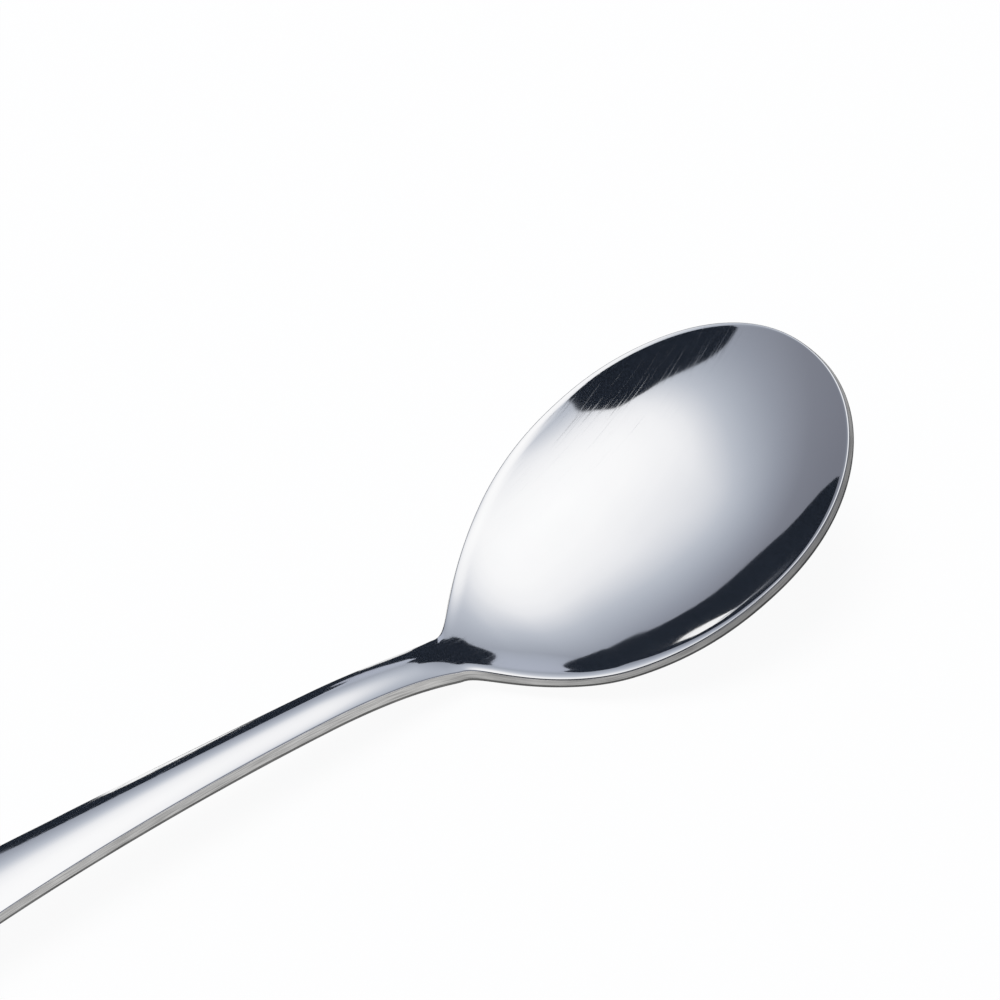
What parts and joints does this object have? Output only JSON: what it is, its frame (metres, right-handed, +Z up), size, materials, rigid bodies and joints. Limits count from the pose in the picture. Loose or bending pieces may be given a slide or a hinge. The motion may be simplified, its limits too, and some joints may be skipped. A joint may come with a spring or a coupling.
{
  "type": "soup spoon",
  "caption": "Polished steel soup spoon with a broad oval bowl, a narrow neck, a slender arched stem and a flared round-ended handle.",
  "frame": {"origin": "middle of the length and width, on the table under the spoon as it lies", "axes": "+X along the spoon towards the tip of the bowl, +Y across it, +Z up"},
  "size_m": [0.1958, 0.047, 0.024],
  "materials": {
    "steel": "mirror polished faces with satin edges"
  },
  "bodies": {
    "root": {"bowl": "steel", "neck": "steel", "shank": "steel", "grip": "steel"}
  },
  "joints": []
}
